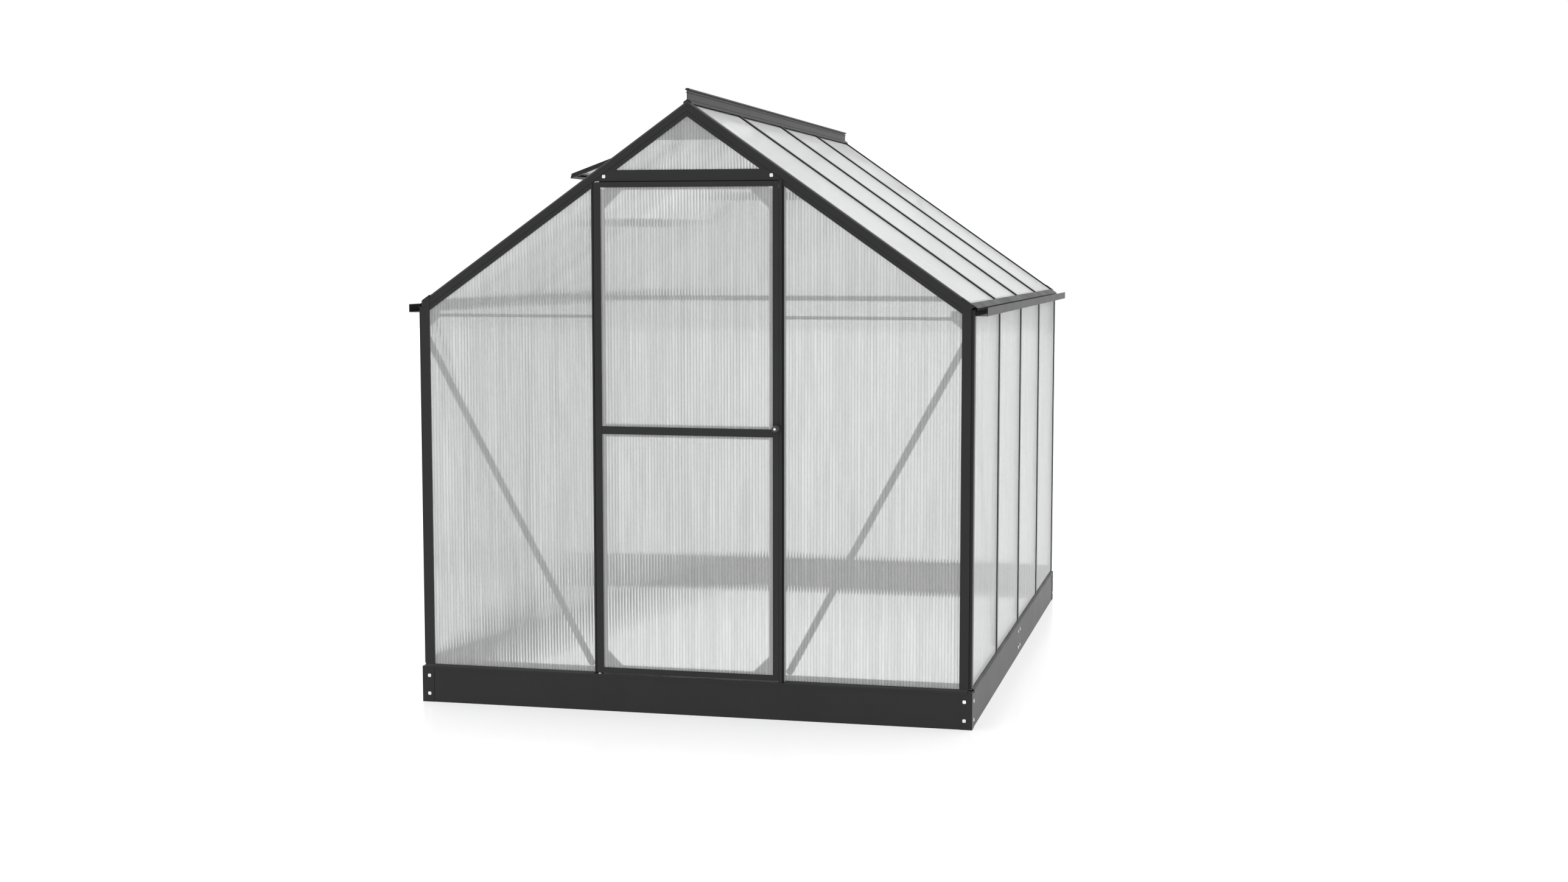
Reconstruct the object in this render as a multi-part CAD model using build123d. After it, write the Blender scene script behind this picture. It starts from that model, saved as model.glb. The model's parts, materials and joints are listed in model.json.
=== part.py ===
"""Walk-in apex greenhouse: aluminium bars, twin-wall sheets, steel foundation, hinged door, roof vent.

Millimetres. +X right, +Y from the door to the rear gable, +Z up.
The origin is the centre of the foundation's footprint, on the ground.
A "depth" is a distance back from the foundation's front face. The front gable is drawn by depth and
the rear one is its mirror image. The roof is drawn by its right slope: a point has a distance x from
the centre line and a height w square to the slope, with w = 0 on the outer face of the glazing bars.
"""
import os
from math import cos, radians, sin, tan

from build123d import *

# ---------------------------------------------------------------- driving dimensions
LENGTH = 2500.0             # foundation, front to rear
WIDTH = 1830.0              # foundation, left to right
BASE_HEIGHT = 119.0         # foundation boards
BAY_COUNT = 4               # glazing bays along each side
EAVE_RISE = 1186.0          # top of the corner posts above the foundation
ROOF_PITCH = 35.05          # degrees
DOOR_WIDTH = 604.5          # door leaf, over its stiles
MID_RAIL_RISE = 783.6       # underside of the door's middle rail above the foundation
MID_RAIL_HEIGHT = 24.8
HEADER_HEIGHT = 35.0        # beam over the door
HEADER_LIP = 9.0            # header's lip down behind the door
VENT_LENGTH = 626.0         # vent, from hinge axis to lower edge
VENT_BAY = 1                # counted from the front bay, 0
VENT_ANGLE = 15.3           # how far the vent stands open at rest, degrees

# ---------------------------------------------------------------- sections and gaps
CLEAR = 0.3                 # between separate pieces that only meet
SHEET = 4.0                 # twin-wall sheet
EDGE_GAP = 1.0              # at a sheet's cut edges
LIP = 1.5                   # thin lips that hold the sheets
WALL = 2.0                  # other walls of an extruded bar
STEEL = 2.0                 # foundation boards
ANGLE_WALL = 1.5            # foundation corner angles
ANGLE_LEG = 40.0
BASE_FLANGE = 45.0          # foundation boards' top and bottom flanges
LAP_SEAM = 65.0             # side boards' lap starts this far ahead of mid-length
LAP_TONGUE = 125.0
FRAME_INSET = 4.5           # gable frame behind the foundation's front face
FRAME_SIDE = 13.6           # gable frame in from the foundation's sides
POST_FACE = 28.5            # corner post's flanges
SIDE_STEP = 4.0             # side walls' bar caps in from the foundation's side
STEP_BACK = 8.5             # corner post's recess, front to back
CAP_HALF = 12.0             # half width of a glazing bar's cap
SEAT_HALF = 10.0            # half width of a glazing bar's inner seat
WEB = 3.0                   # web of a glazing bar
WALL_CAP = 2.3              # wall bar's cap, thickness
WALL_WEB = 30.0             # wall bar, outside to inside
ROOF_CAP = 4.0              # roof bar's cap, thickness
ROOF_WEB = 24.0             # roof bar, square to the slope
BAY_INSET = 18.0            # glazing grid in from the foundation's ends
RAFTER_BODY = 26.0          # gable rafter's box, square to the slope
RAFTER_FACE = 40.0          # gable rafter's whole face, square to the slope
RAFTER_BOX = 19.5           # gable rafter's box, front to back
RAFTER_CAP = 23.5           # gable rafter's top flange, front to back
RAFTER_ROUND = 9.0
RAFTER_SEAT = 10.0
RAFTER_TUCK = 11.2          # corner post past the rafter's lower edge
GROOVE = 2.0                # shadow groove along the rafters
SHEET_TUCK = 8.0            # gable sheets behind the rafters' lips
SILL_PLATE = 2.0
SILL_WIDTH = 30.0
SILL_LIP = 7.7              # sill's outer lip above the foundation
SILL_BACK_LIP = 25.0
APRON_DROP = 7.0            # sill's apron down over the foundation
APRON_OUT = 2.0
GUTTER_OUT = 35.0           # gutter past the foundation's side
GUTTER_INNER = 2.2          # gutter's inner wall in from the foundation's side
GUTTER_WALL = 1.5
GUTTER_HEIGHT = 26.0
GUTTER_FLOOR = 18.0         # gutter's floor below the top of the corner posts
GUTTER_START = 20.0         # depth of its front end
GUTTER_PAST = 10.0          # past the rear face
EAVE_BEAM = 30.0            # eave beam, outside to inside
FLASHING = 22.0             # eave flashing, level across the slope
RIDGE_INSET = 12.0
RIDGE_RISE = 39.0           # fin's top above the roof's apex
RIDGE_CAP_HALF = 7.0
RIDGE_CAP_THICK = 6.0
V_HALF = 13.0               # ridge's V flange
V_THICK = 4.1
RIDGE_DROP = 52.0
RIDGE_SEAT = 18.0
GIRT_DROP = 32.0            # front girts' lower edge under the top of the posts
GIRT_FACE = 10.0            # front girts, up and down
REAR_GIRT_DROP = 12.0
REAR_GIRT_FACE = 22.0
GIRT_FLANGE = 19.0
BRACE_WIDTH = 22.0
BRACE_THICK = 1.5
GUSSET_THICK = 1.5
EAVE_GUSSET = 58.0          # eave gusset past the corner post, across and down
BRACE_DROP = 98.0           # gable braces' upper end under the top of the posts
APEX_PLATE_DROP = 121.0
APEX_PLATE_HALF = 145.0
BOLT_HEAD = 11.0
BOLT_HEAD_THICK = 2.5
BOLT_R = 3.0
BASE_BOLT_INSET = 25.0
BASE_BOLT_LOW = 28.7
BASE_BOLT_HIGH = 88.5

# ---------------------------------------------------------------- door
LEAF_FRONT = -2.5           # depth of the leaf's front face
LEAF_THICK = 15.5
LEAF_PLATE = 1.5
LEAF_LIP_AT = 3.6           # depth of the lip behind the leaf's sheets
HINGE_STILE = 23.5          # visible width
LOCK_STILE = 19.0
STILE_BOX = 14.0            # boxed part of a stile
STILE_LIP = 13.0            # inner lip past the stile's face
RAIL_FACE = 16.5
RAIL_LIP = 8.0
PIVOT_INSET = 7.5           # pivot axis in from the leaf's outer and front faces
PIVOT_R = 3.0
PIVOT_CLEAR = 0.05
PLUG = 20.0
DOOR_GAP = 3.0              # over the leaf
DOOR_LIFT = 5.6             # leaf above the sill's plate
LOCK_GAP = 0.6
POST_BOX = 10.0             # latch-side post's box
POST_LIP = 5.4
STOP_DEPTH = 14.5
HINGE_STOP = 18.5           # flange behind the hinge stile, across
LOCK_STOP = 3.5             # door stop behind the lock stile, across
DOOR_GUSSET = 81.0
KNOB_R = 10.5
KNOB_LENGTH = 27.0
KNOB_RISE = 811.9           # knob above the foundation
SHAFT_R = 2.5
TONGUE = (7.0, 24.0, 3.0)   # width, reach, thickness

# ---------------------------------------------------------------- vent
VENT_LIFT = 2.0             # closed vent above the bars' caps
VENT_DEPTH = 14.0
VENT_RAIL = 22.0
VENT_WALL = 1.8
VENT_OVER = 2.0             # vent past the centre of the bars under its sides
HINGE_X = 10.0              # hinge axis from the ridge's centre line
HINGE_W = 11.5
KNUCKLE_R = 4.5
ROD_R = 2.5
ROD_CLEAR = 0.05
EAR = 3.0
RAIL_START = 6.0            # vent's rails start this far down from the axis
STAY_BACK = 31.0            # stay's pivot up from the vent's lower edge, level
STAY_W = -4.0
STAY_LENGTH = 165.0
STAY_HALF = 7.0
STAY_THICK = 3.0
STAY_TILT = 12.0            # degrees off square to the vent
STAY_HOLES = 4
PEG_R = 3.0

# ---------------------------------------------------------------- derived values
PITCH = radians(ROOF_PITCH)
HALF_L = LENGTH / 2
HALF_W = WIDTH / 2
FRAME_X = HALF_W - FRAME_SIDE                   # outer edge of the gable frame
POST_X = FRAME_X - POST_FACE                    # inner edge of a corner post's face
EAVE_Z = BASE_HEIGHT + EAVE_RISE
APEX_Z = EAVE_Z - RAFTER_TUCK + POST_X * tan(PITCH) + RAFTER_FACE / cos(PITCH)
FACE_BACK = FRAME_INSET + WALL                  # back of the gable frame's face
SHEET_Y0 = FACE_BACK + CLEAR                    # gable sheets, in depth
SHEET_Y1 = SHEET_Y0 + SHEET
LIP_Y0 = SHEET_Y1 + CLEAR                       # lips behind the gable sheets
LIP_Y1 = LIP_Y0 + LIP
WALL_X = HALF_W - SIDE_STEP                     # outer face of the side walls' caps
SHEET_X1 = WALL_X - WALL_CAP - CLEAR            # side sheets
SHEET_X0 = SHEET_X1 - SHEET
LIP_X1 = SHEET_X0 - CLEAR                       # lips inside the side sheets
LIP_X0 = LIP_X1 - LIP
GUSSET_X = LIP_X0 - 6 - CLEAR                   # eave gussets' outer edge
ROOF_TOP = -ROOF_CAP - CLEAR                    # roof sheets, in w
ROOF_BOTTOM = ROOF_TOP - SHEET
SEAT_TOP = ROOF_BOTTOM - CLEAR
SEAT_BOTTOM = SEAT_TOP - WALL
SILL_Z = BASE_HEIGHT + CLEAR
SHEET_Z = SILL_Z + SILL_PLATE + 0.5             # lower edge of the wall sheets
LIP_Z = BASE_HEIGHT + SILL_LIP + 0.3            # top of the sills' outer lips
BAR_FOOT = BASE_HEIGHT + SILL_BACK_LIP + CLEAR  # where posts clear the sills' inner lips
BAY = (LENGTH - 2 * BAY_INSET) / BAY_COUNT
GRID = [BAY_INSET + BAY * i for i in range(1, BAY_COUNT)]
DOOR_X0 = -DOOR_WIDTH / 2 - 5.25                # leaf's hinge edge
DOOR_X1 = DOOR_X0 + DOOR_WIDTH                  # leaf's lock edge
PIVOT_X = DOOR_X0 + PIVOT_INSET
PIVOT_DEPTH = LEAF_FRONT + PIVOT_INSET
LEAF_SWEEP = (PIVOT_INSET ** 2 + (LEAF_THICK - PIVOT_INSET) ** 2) ** 0.5   # stile's rear corner
HINGE_POST_X = PIVOT_X - LEAF_SWEEP - LOCK_GAP
HINGE_STOP_DEPTH = PIVOT_DEPTH + LEAF_SWEEP + 0.8
LOCK_POST_X = DOOR_X1 + LOCK_GAP
LOCK_POST_EDGE = LOCK_POST_X + POST_BOX
BEAM_X = max(-HINGE_POST_X, LOCK_POST_EDGE) + POST_LIP
HEADER_Z = APEX_Z - BEAM_X * tan(PITCH) - RAFTER_BODY / cos(PITCH) + 5.1
DOOR_TOP = HEADER_Z - DOOR_GAP
DOOR_BOTTOM = SILL_Z + SILL_PLATE + DOOR_LIFT
JAMB_TOP = APEX_Z - BEAM_X * tan(PITCH) - RAFTER_FACE / cos(PITCH) - CLEAR
STILE_TOP = JAMB_TOP - WALL - CLEAR
GUTTER_Z = EAVE_Z - GUTTER_FLOOR
GUTTER_X1 = HALF_W + GUTTER_OUT
GUTTER_X0 = HALF_W - GUTTER_INNER - GUTTER_WALL
BEAM_X0 = WALL_X - EAVE_BEAM
BEAM_Y = FRAME_INSET + STEP_BACK + POST_FACE + WALL + CLEAR   # eave beams start behind the posts
FLASH_X0 = FRAME_X - 5.4
VENT_END = HINGE_X + VENT_LENGTH * cos(PITCH)
VENT_Y0 = BAY_INSET + BAY * VENT_BAY - VENT_OVER
VENT_Y1 = BAY_INSET + BAY * (VENT_BAY + 1) + VENT_OVER
VENT_MID = (VENT_Y0 + VENT_Y1) / 2
VENT_TOP = VENT_LIFT + VENT_DEPTH
SILL_BAR_X = VENT_END - VENT_RAIL
KNOB_X = DOOR_X1 - STILE_BOX / 2
KNOB_Z = BASE_HEIGHT + KNOB_RISE


# ---------------------------------------------------------------- drawing helpers
def block(x0, x1, d0, d1, z0, z1):
    """A box between two x, two depths and two heights."""
    box = Box(x1 - x0, d1 - d0, z1 - z0)
    return Pos((x0 + x1) / 2, (d0 + d1) / 2 - HALF_L, (z0 + z1) / 2) * box


def prism(points, d0, d1):
    """An outline of (x, z) points, extruded from one depth to another."""
    wire = Polyline([(x, d0 - HALF_L, z) for x, z in points], close=True)
    return extrude(make_face(wire), amount=d1 - d0, dir=(0, 1, 0))


def bar_along_x(points, x0, x1):
    """An outline of (depth, z) points, extruded along X."""
    wire = Polyline([(x0, d - HALF_L, z) for d, z in points], close=True)
    return extrude(make_face(wire), amount=x1 - x0, dir=(1, 0, 0))


def rod_y(x, z, radius, d0, d1):
    """A cylinder along Y."""
    place = Pos(x, (d0 + d1) / 2 - HALF_L, z) * Rot(90, 0, 0)
    return place * Cylinder(radius, d1 - d0)


def roof_z(x, w):
    """Height of a point of the right slope."""
    return APEX_Z - x * tan(PITCH) + w / cos(PITCH)


def roof_x(z, w):
    """Distance from the centre line where a line parallel to the slope is at height z."""
    return (APEX_Z + w / cos(PITCH) - z) / tan(PITCH)


def slab(x0, x1, w0, w1, d0, d1):
    """A plate lying in the right slope, with upright ends."""
    corners = [(x0, w0), (x1, w0), (x1, w1), (x0, w1)]
    return prism([(x, roof_z(x, w)) for x, w in corners], d0, d1)


def join(*pieces):
    """One solid from pieces that touch."""
    whole = pieces[0]
    for piece in pieces[1:]:
        whole = whole + piece
    return whole


def left(piece):
    return mirror(piece, Plane.YZ)


def rear(piece):
    return mirror(piece, Plane.XZ)


def both_sides(piece):
    return [piece, left(piece)]


def four_corners(piece):
    return [piece, left(piece), rear(piece), rear(left(piece))]


# ---------------------------------------------------------------- foundation
def end_board():
    """Front foundation board: a channel with its web outside."""
    x = HALF_W - ANGLE_WALL
    d = ANGLE_WALL
    web = block(-x, x, d, d + STEEL, 0, BASE_HEIGHT)
    inner = x - STEEL - CLEAR
    floor = block(-inner, inner, d, d + BASE_FLANGE, 0, STEEL)
    top = block(-inner, inner, d, d + BASE_FLANGE, BASE_HEIGHT - STEEL, BASE_HEIGHT)
    return join(web, floor, top)


def side_boards():
    """Right foundation side: two channels, the front one lapping inside the rear one."""
    x1 = HALF_W - ANGLE_WALL
    x0 = x1 - STEEL
    web_start = ANGLE_WALL + STEEL + CLEAR
    flange_start = ANGLE_WALL + BASE_FLANGE + CLEAR
    seam = HALF_L - LAP_SEAM

    def channel(web_a, flange_a, flange_b, web_b):
        web = block(x0, x1, web_a, web_b, 0, BASE_HEIGHT)
        floor = block(x1 - BASE_FLANGE, x1, flange_a, flange_b, 0, STEEL)
        top = block(x1 - BASE_FLANGE, x1, flange_a, flange_b, BASE_HEIGHT - STEEL, BASE_HEIGHT)
        return join(web, floor, top)

    near = channel(web_start, flange_start, seam, seam)
    tongue = block(x0 - STEEL, x0, seam - BASE_FLANGE, seam + LAP_TONGUE,
                   STEEL + CLEAR, BASE_HEIGHT - STEEL - CLEAR)
    far = channel(seam + CLEAR, seam + CLEAR, LENGTH - flange_start, LENGTH - web_start)
    return [near + tongue, far]


def corner_angle():
    """Angle round the front right corner of the foundation."""
    front = block(HALF_W - ANGLE_LEG, HALF_W, 0, ANGLE_WALL, 0, BASE_HEIGHT)
    side = block(HALF_W - ANGLE_WALL, HALF_W, 0, ANGLE_LEG, 0, BASE_HEIGHT)
    return front + side


# ---------------------------------------------------------------- bolts
def bolt(grip):
    """Square-headed bolt along +Z: head above z = 0, shank and nut below."""
    head = extrude(RectangleRounded(BOLT_HEAD, BOLT_HEAD, 3.0), amount=BOLT_HEAD_THICK)
    head = fillet(head.faces().sort_by(Axis.Z)[-1].edges(), 0.8)
    shank = Pos(0, 0, -(grip + 3.0) / 2) * Cylinder(BOLT_R, grip + 3.0)
    nut = Pos(0, 0, -grip - 1.5) * extrude(RegularPolygon(5.5, 6), amount=1.5, both=True)
    return join(head, shank, nut)


def base_bolt_places():
    """Every foundation bolt: where its head seats, and the way the head faces."""
    places = []
    for z in (BASE_BOLT_LOW, BASE_BOLT_HIGH):
        for side in (-1, 1):
            for end in (-1, 1):
                y = end * HALF_L
                places.append(((side * (HALF_W - BASE_BOLT_INSET), y, z), (0, end, 0)))
                places.append(((side * HALF_W, y - end * BASE_BOLT_INSET, z), (side, 0, 0)))
            for y in (-20.0, 30.0):
                places.append(((side * (HALF_W - ANGLE_WALL), y, z), (side, 0, 0)))
    return places


def header_bolt_places():
    """Bolts through the ends of the two headers into the gable rafters."""
    z = HEADER_Z + 0.42 * HEADER_HEIGHT
    x = roof_x(z, -RAFTER_FACE + 5.0)
    return [((side * x, end * (HALF_L - FRAME_INSET + WALL), z), (0, end, 0))
            for side in (-1, 1) for end in (-1, 1)]


def bolts(places, grip):
    upright = bolt(grip)
    return [Plane(origin=p, x_dir=(0, 0, 1), z_dir=n) * upright for p, n in places]


def drilled(piece, places):
    """The piece with a clear hole for each bolt that passes through it."""
    reach = 12.0
    box = piece.bounding_box()
    for point, normal in places:
        near = all(lo - reach < v < hi + reach for lo, v, hi in
                   zip(tuple(box.min), point, tuple(box.max)))
        if near:
            hole = Pos(0, 0, -reach / 2) * Cylinder(BOLT_R, reach + 4.0)
            piece = piece - Plane(origin=point, z_dir=normal) * hole
    return piece


# ---------------------------------------------------------------- sills
def gable_sill():
    """Front sill: apron over the foundation, outer lip, plate, and a lip inside the sheets."""
    reach = FRAME_X - 3.0
    z1 = SILL_Z + SILL_PLATE
    outline = [(-APRON_OUT, BASE_HEIGHT - APRON_DROP), (-0.5, BASE_HEIGHT - APRON_DROP), (-0.5, SILL_Z),
               (SILL_WIDTH, SILL_Z), (SILL_WIDTH, z1), (FACE_BACK, z1), (FACE_BACK, LIP_Z - CLEAR),
               (FRAME_INSET, LIP_Z - CLEAR), (-APRON_OUT, SILL_Z + 1.0)]
    lip = block(-POST_X + CLEAR, POST_X - CLEAR, LIP_Y0, LIP_Y1, SILL_Z, BASE_HEIGHT + SILL_BACK_LIP)
    return bar_along_x(outline, -reach, reach) + lip


def door_sill():
    """Front sill, cut down across the doorway."""
    cut = block(HINGE_POST_X - POST_LIP - CLEAR, BEAM_X + CLEAR, -5, SILL_WIDTH + 5,
                SILL_Z + SILL_PLATE, LIP_Z + SILL_BACK_LIP)
    return gable_sill() - cut


def side_sill():
    """Right sill, between the gable sills."""
    x = HALF_W
    z1 = SILL_Z + SILL_PLATE
    start = SILL_WIDTH + CLEAR
    outline = [(x + APRON_OUT, BASE_HEIGHT - APRON_DROP), (x + 0.5, BASE_HEIGHT - APRON_DROP),
               (x + 0.5, SILL_Z), (x - SILL_WIDTH, SILL_Z), (x - SILL_WIDTH, z1),
               (SHEET_X1 + CLEAR, z1), (SHEET_X1 + CLEAR, LIP_Z - CLEAR), (WALL_X, LIP_Z - CLEAR),
               (x + APRON_OUT, SILL_Z + 1.0)]
    lip = block(LIP_X0, LIP_X1, BEAM_Y, LENGTH - BEAM_Y, SILL_Z, BASE_HEIGHT + SILL_BACK_LIP)
    return prism(outline, start, LENGTH - start) + lip


# ---------------------------------------------------------------- wall bars
def corner_post():
    """Front right corner post: two face flanges with a recess between them, and lips inside."""
    f = FRAME_INSET
    z0, z1 = LIP_Z, EAVE_Z
    step = f + STEP_BACK
    core = LIP_X0 - 6.0
    back = step + 9.0
    face = block(POST_X, FRAME_X, f, FACE_BACK, z0, z1)
    corner = block(FRAME_X - WALL, FRAME_X, f, step + WALL, z0, z1)
    ledge = block(FRAME_X - WALL, WALL_X, step, step + WALL, z0, z1)
    side = block(SHEET_X1 + CLEAR, WALL_X, step, step + POST_FACE + WALL, z0, GUTTER_Z - CLEAR)
    side_top = block(SHEET_X1 + CLEAR, WALL_X, step, step + WALL, z0, z1)
    lip = block(POST_X, core + LIP, LIP_Y0, LIP_Y1, z0, z1)
    web = block(core, core + LIP, f, back, z0, z1)
    bridge = block(core, LIP_X1, back - WALL, back, z0, z1)
    inner = block(LIP_X0, LIP_X1, back - WALL, step + POST_FACE + WALL, z0, z1)
    return join(face, corner, ledge, side, side_top, lip, web, bridge, inner)


def wall_bar(d):
    """Glazing bar of the right wall, centred on a depth."""
    top = GUTTER_Z - CLEAR
    cap = block(SHEET_X1 + CLEAR, WALL_X, d - CAP_HALF, d + CAP_HALF, LIP_Z, top)
    web = block(WALL_X - WALL_WEB, WALL_X, d - WEB / 2, d + WEB / 2, BAR_FOOT, top)
    seat = block(LIP_X0, LIP_X1, d - SEAT_HALF, d + SEAT_HALF, BAR_FOOT, top)
    return join(cap, web, seat)


def rear_stud():
    """Right glazing bar of the rear gable, drawn in the front gable's place."""
    x = BEAM_X - CAP_HALF
    top = roof_z(BEAM_X, -RAFTER_FACE) - CLEAR
    cap = block(x - CAP_HALF, x + CAP_HALF, FRAME_INSET, FACE_BACK, LIP_Z, top)
    web = block(x - WEB / 2, x + WEB / 2, FRAME_INSET, FRAME_INSET + RAFTER_BOX, BAR_FOOT, top)
    seat = block(x - SEAT_HALF, x + SEAT_HALF, LIP_Y0, LIP_Y1, BAR_FOOT, top)
    return join(cap, web, seat)


def under_rafters(side):
    """The space under the lower edge of the front rafter on one side, right 1 or left -1."""
    w = -RAFTER_FACE - CLEAR
    outline = [(0, 0), (side * FRAME_X, 0), (side * FRAME_X, roof_z(FRAME_X, w)), (0, roof_z(0, w))]
    return prism(outline, -50, 100)


def hinge_post():
    """Door post on the hinge side: lip, wall, rear flange, and the tongue that holds the top pivot."""
    x = HINGE_POST_X
    z0 = SILL_Z + SILL_PLATE + CLEAR
    lip = block(x - POST_LIP, x, FRAME_INSET, FRAME_INSET + LIP, z0, HEADER_Z)
    wall = block(x - LIP, x, FRAME_INSET, FRAME_INSET + RAFTER_BOX, z0, HEADER_Z)
    back_lip = block(x - POST_LIP, x, LIP_Y0, LIP_Y1, z0, HEADER_Z)
    d = HINGE_STOP_DEPTH
    stop = block(x - LIP, x + HINGE_STOP, d, d + LIP, z0, roof_z(LIP - x, -RAFTER_BODY) - CLEAR)
    tongue = block(PIVOT_X - 2.3, x + HINGE_STOP, PIVOT_DEPTH - PIVOT_R, d + LIP, JAMB_TOP - WALL, JAMB_TOP)
    return join((join(lip, wall, back_lip) & under_rafters(-1)), stop, tongue)


def latch_post():
    """Door post on the latch side: box with a front strip, a lip for the sheet and a stop."""
    x0, x1 = LOCK_POST_X, LOCK_POST_EDGE
    z0 = SILL_Z + SILL_PLATE + CLEAR
    d1 = STOP_DEPTH + LIP
    outer = block(x0, x1, LEAF_FRONT, d1, z0, JAMB_TOP)
    inner = block(x0 + LIP, x1 - LIP, LEAF_FRONT + LIP, d1 - LIP, z0 - 1, JAMB_TOP + 1)
    strip = block(x0, x1, LEAF_FRONT, LEAF_FRONT + LIP, z0, HEADER_Z - CLEAR)
    lip = block(x1 - LIP, x1 + POST_LIP, FRAME_INSET, FRAME_INSET + LIP, z0, HEADER_Z)
    back_lip = block(x1 - LIP, BEAM_X, LIP_Y0, LIP_Y1, z0, HEADER_Z)
    stop = block(x0 - LOCK_STOP, x0 + LIP, STOP_DEPTH, STOP_DEPTH + LIP, z0, JAMB_TOP)
    return join((join(outer - inner, lip, back_lip, stop) & under_rafters(1)), strip)


# ---------------------------------------------------------------- gable framing
def gable_rafter():
    """Right front rafter: rounded box over a shadow groove and a lip, mitred at the apex."""
    outer = Pos(RAFTER_BOX / 2, -RAFTER_BODY / 2) * Rectangle(RAFTER_BOX, RAFTER_BODY)
    inner = Pos(RAFTER_BOX / 2, -RAFTER_BODY / 2) * Rectangle(RAFTER_BOX - 2 * WALL, RAFTER_BODY - 2 * WALL)
    outer = fillet(outer.vertices().sort_by(Axis.X)[:2].sort_by(Axis.Y)[-1], RAFTER_ROUND)
    inner = fillet(inner.vertices().sort_by(Axis.X)[:2].sort_by(Axis.Y)[-1], RAFTER_ROUND - WALL)

    def strip(d0, d1, w0, w1):
        return Pos((d0 + d1) / 2, (w0 + w1) / 2) * Rectangle(d1 - d0, w1 - w0)

    bed = strip(1.2, WALL, -RAFTER_BODY - GROOVE - 0.5, -RAFTER_BODY + 0.5)
    face = strip(0, WALL, -RAFTER_FACE, -RAFTER_BODY - GROOVE)
    lip = strip(LIP_Y0 - FRAME_INSET, LIP_Y1 - FRAME_INSET, -RAFTER_FACE, -RAFTER_BODY + 0.5)
    flange = strip(RAFTER_BOX - 1, RAFTER_CAP, -ROOF_CAP, 0)
    seat = strip(RAFTER_BOX - 1, RAFTER_BOX + RAFTER_SEAT, SEAT_BOTTOM, SEAT_TOP)
    section = outer - inner + bed + face + lip + flange + seat
    start = (0, -HALF_L + FRAME_INSET, APEX_Z)
    run = Plane(origin=start, x_dir=(0, 1, 0), z_dir=(cos(PITCH), 0, -sin(PITCH)))
    length = POST_X / cos(PITCH) + 2 * RAFTER_FACE
    bar = extrude((run.offset(-RAFTER_FACE)) * section, amount=length)
    keep = block(CLEAR / 2, POST_X - CLEAR, -50, 100, 0, APEX_Z + 100)
    return bar & keep


def front_rafter(doorway):
    """Right front rafter, its lip cut away over the doorway so that the door's stile can swing past."""
    gap = block(0, doorway, -5, RAFTER_BOX, 0, HEADER_Z)
    return drilled(gable_rafter() - gap, header_bolt_places())


def header():
    """Front header: face plate lapped over the rafters, box behind it, and lips for the top sheet."""
    z0, z1 = HEADER_Z, HEADER_Z + HEADER_HEIGHT
    zb = z1 - 9.0
    w_face, w_box = -RAFTER_BODY - GROOVE, -RAFTER_FACE - CLEAR

    def outline(low, high, w):
        a, b = roof_x(low, w) - CLEAR, roof_x(high, w) - CLEAR
        return [(-a, low), (a, low), (b, high), (-b, high)]

    f = FRAME_INSET
    face = prism(outline(z0, z1, w_face), f - WALL, f)
    front_lip = prism(outline(z0, z1, w_box), f - 0.5, FACE_BACK)
    box = prism(outline(z0, zb, w_box), f - 0.5, f + RAFTER_BOX)
    hollow = prism(outline(z0 + LIP, zb - LIP, w_box - LIP - 1), FACE_BACK, f + RAFTER_BOX - LIP)
    back_lip = prism(outline(zb - 1, z1, w_box), LIP_Y0, LIP_Y1)
    return join(face, box - hollow, front_lip, back_lip)


def door_header():
    """Front header, with a lip behind the top of the door."""
    x0 = HINGE_POST_X + HINGE_STOP + CLEAR
    x1 = LOCK_POST_X - LOCK_STOP - CLEAR
    return header() + block(x0, x1, STOP_DEPTH, STOP_DEPTH + LIP, DOOR_TOP - HEADER_LIP, HEADER_Z + 1)


def front_girt():
    """Eave-level angle behind the right front sheet, its flange cut back where the gusset is fixed."""
    z0 = EAVE_Z - GIRT_DROP
    z1 = z0 + GIRT_FACE
    x0, x1 = BEAM_X + CLEAR, LIP_X0 - 8
    d = LIP_Y1 + CLEAR
    plate = block(x0, x1, d, d + LIP, z0, z1)
    flange = block(x0, GUSSET_X - EAVE_GUSSET - CLEAR, d, d + GIRT_FLANGE, z1 - LIP, z1)
    return plate + flange


def rear_girt():
    """Eave-level angle across the rear gable, drawn in the front gable's place."""
    z1 = EAVE_Z - REAR_GIRT_DROP
    x = LIP_X0 - 22
    d = FRAME_INSET + RAFTER_BOX + CLEAR
    plate = block(-x, x, d, d + LIP, z1 - REAR_GIRT_FACE, z1)
    flange = block(-x, x, d, d + GIRT_FLANGE, z1 - LIP, z1)
    return plate + flange


def strap(p0, p1, thickness):
    """Flat strap between two (a, b) points, in the XY plane, as a sketch extruded up."""
    a, b = Vector(*p0), Vector(*p1)
    run = b - a
    angle = Vector(1, 0, 0).get_signed_angle(run, Vector(0, 0, 1))
    flat = extrude(SlotCenterToCenter(run.length, BRACE_WIDTH), amount=thickness)
    return Pos((a.X + b.X) / 2, (a.Y + b.Y) / 2, 0) * Rot(0, 0, angle) * flat


def gable_brace():
    """Strap from the right corner post down to the foot of the door post, in the front gable."""
    top = (LIP_X0 - 22, EAVE_Z - BRACE_DROP - BRACE_WIDTH / 2 + 4)
    foot = (BEAM_X + BRACE_WIDTH / 2 + 2, BAR_FOOT + BRACE_WIDTH / 2)
    d = LIP_Y1 + CLEAR
    upright = Plane(origin=(0, d + BRACE_THICK - HALF_L, 0), x_dir=(1, 0, 0), z_dir=(0, -1, 0))
    return upright * strap(foot, top, BRACE_THICK)


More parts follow.
